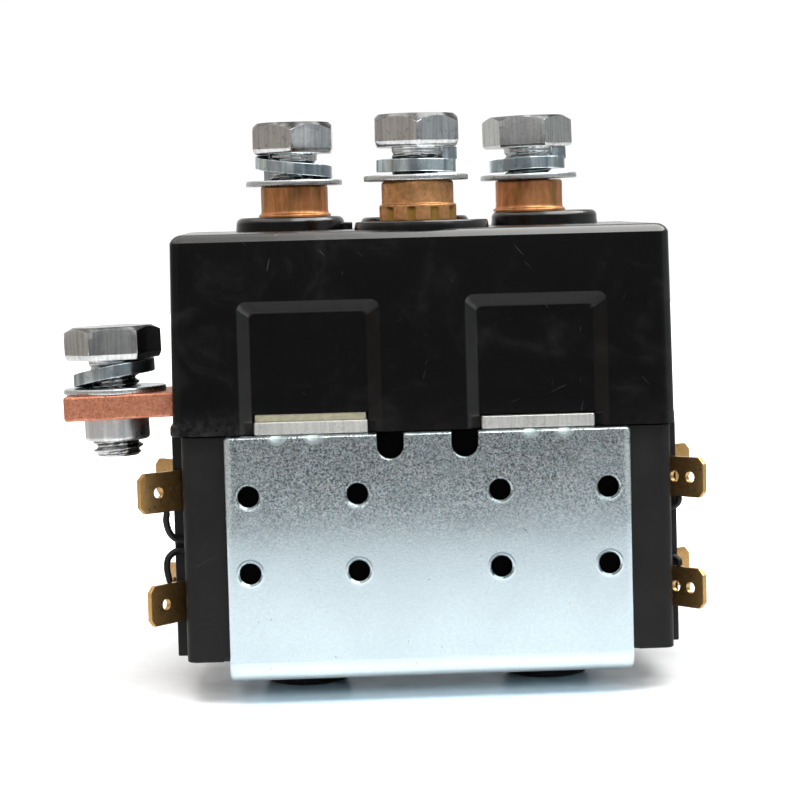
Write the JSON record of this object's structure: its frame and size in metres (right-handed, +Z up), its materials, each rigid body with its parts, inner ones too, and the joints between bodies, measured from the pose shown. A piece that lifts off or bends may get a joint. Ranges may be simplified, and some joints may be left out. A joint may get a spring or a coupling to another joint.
{
  "type": "dc contactor",
  "caption": "Motor-reversing changeover contactor: two solenoids in a black moulded body on a folded zinc bracket, with copper stud terminals, a side busbar and brass spade blades.",
  "frame": {"origin": "centre of the bracket's rectangle of mounting holes, on the bracket's front face", "axes": "+X to the right seen from the bracket's front, along the longest side; -Y out of the mounting face; +Z up towards the stud terminals"},
  "size_m": [0.1016, 0.0483, 0.0911],
  "materials": {
    "zinc_plate": "bright zinc plating, speckled, fine scratches",
    "zinc_hardware": "bright zinc plating on machined steel",
    "zinc_washer": "zinc plating on punched steel",
    "spring_washer_zinc": "zinc plating on rolled spring steel, slightly blue",
    "housing_black": "glossy black moulding with fine scratches and dust",
    "case_black": "satin black moulding",
    "black_moulding": "satin black moulding",
    "gasket_cream": "cream insulating board",
    "bobbin_nylon": "natural nylon",
    "winding_copper": "enamelled copper wire, wound in layers",
    "core_steel": "turned soft iron, plated",
    "rod_steel": "turned stainless steel",
    "spring_steel": "drawn spring wire",
    "black_foot": "black oxide steel, satin",
    "brown_insulator": "phenolic moulding",
    "silver_tip": "silver alloy, satin",
    "copper_bar": "cold rolled copper, salmon, matt",
    "copper_stud": "turned copper, slightly bronzed",
    "brass_blade": "punched brass strip, tarnished faces, bright edges",
    "lead_black": "black insulation"
  },
  "bodies": {
    "frame": {"mounting_bracket": "zinc_plate", "yoke_plate": "zinc_plate", "insulating_gasket": "gasket_cream", "contact_bed": "black_moulding", "coil_case": "case_black", "upper_housing": "housing_black", "cover_screws": "zinc_hardware", "left_bobbin": "bobbin_nylon", "right_bobbin": "bobbin_nylon", "left_winding": "winding_copper", "right_winding": "winding_copper", "left_fixed_core": "core_steel", "right_fixed_core": "core_steel", "left_core_screw": "black_foot", "right_core_screw": "black_foot", "left_return_spring": "spring_steel", "right_return_spring": "spring_steel", "fixed_contact_tips": "silver_tip", "upper_contact_bar": "copper_bar", "left_contact_bracket": "copper_bar", "right_contact_bracket": "copper_bar", "supply_terminal": "copper_stud", "left_motor_terminal": "copper_stud", "right_motor_terminal": "copper_stud", "side_busbar": "copper_bar", "clinch_nut": "zinc_hardware", "side_terminal_bolt": "zinc_hardware", "middle_terminal_bolt": "zinc_hardware", "left_terminal_bolt": "zinc_hardware", "right_terminal_bolt": "zinc_hardware", "spring_washers": "spring_washer_zinc", "flat_washers": "zinc_washer", "left_upper_spades": "brass_blade", "left_lower_spades": "brass_blade", "right_upper_spades": "brass_blade", "right_lower_spades": "brass_blade", "left_coil_leads": "lead_black", "right_coil_leads": "lead_black"},
    "left_armature": {"left_plunger": "core_steel", "left_push_rod": "rod_steel", "left_spring_seat": "brown_insulator", "left_lower_contact_spring": "spring_steel", "left_upper_contact_spring": "spring_steel"},
    "left_bridge": {"left_contact_bridge": "copper_bar", "left_bridge_bush": "brown_insulator", "left_bridge_tips": "silver_tip"},
    "right_armature": {"right_plunger": "core_steel", "right_push_rod": "rod_steel", "right_spring_seat": "brown_insulator", "right_lower_contact_spring": "spring_steel", "right_upper_contact_spring": "spring_steel"},
    "right_bridge": {"right_contact_bridge": "copper_bar", "right_bridge_bush": "brown_insulator", "right_bridge_tips": "silver_tip"}
  },
  "joints": [
    {"name": "left_plunger_slide", "type": "slide", "parent": "frame", "child": "left_armature", "axis": [0, 0, 1], "range_m": [-0.0038, 0], "stiffness_N_per_m": 700, "springref_m": 0.011, "deforming": ["left_return_spring"]},
    {"name": "left_bridge_slide", "type": "slide", "parent": "left_armature", "child": "left_bridge", "axis": [0, 0, 1], "range_m": [0, 0.00085], "deforming": ["left_lower_contact_spring", "left_upper_contact_spring"]},
    {"name": "right_plunger_slide", "type": "slide", "parent": "frame", "child": "right_armature", "axis": [0, 0, 1], "range_m": [-0.0038, 0], "stiffness_N_per_m": 700, "springref_m": 0.011, "deforming": ["right_return_spring"]},
    {"name": "right_bridge_slide", "type": "slide", "parent": "right_armature", "child": "right_bridge", "axis": [0, 0, 1], "range_m": [0, 0.00085], "deforming": ["right_lower_contact_spring", "right_upper_contact_spring"]}
  ],
  "couplings": [
    {"joint": "left_bridge_slide", "follows": "left_plunger_slide", "ratio": -0.2236},
    {"joint": "right_bridge_slide", "follows": "right_plunger_slide", "ratio": -0.2236}
  ]
}
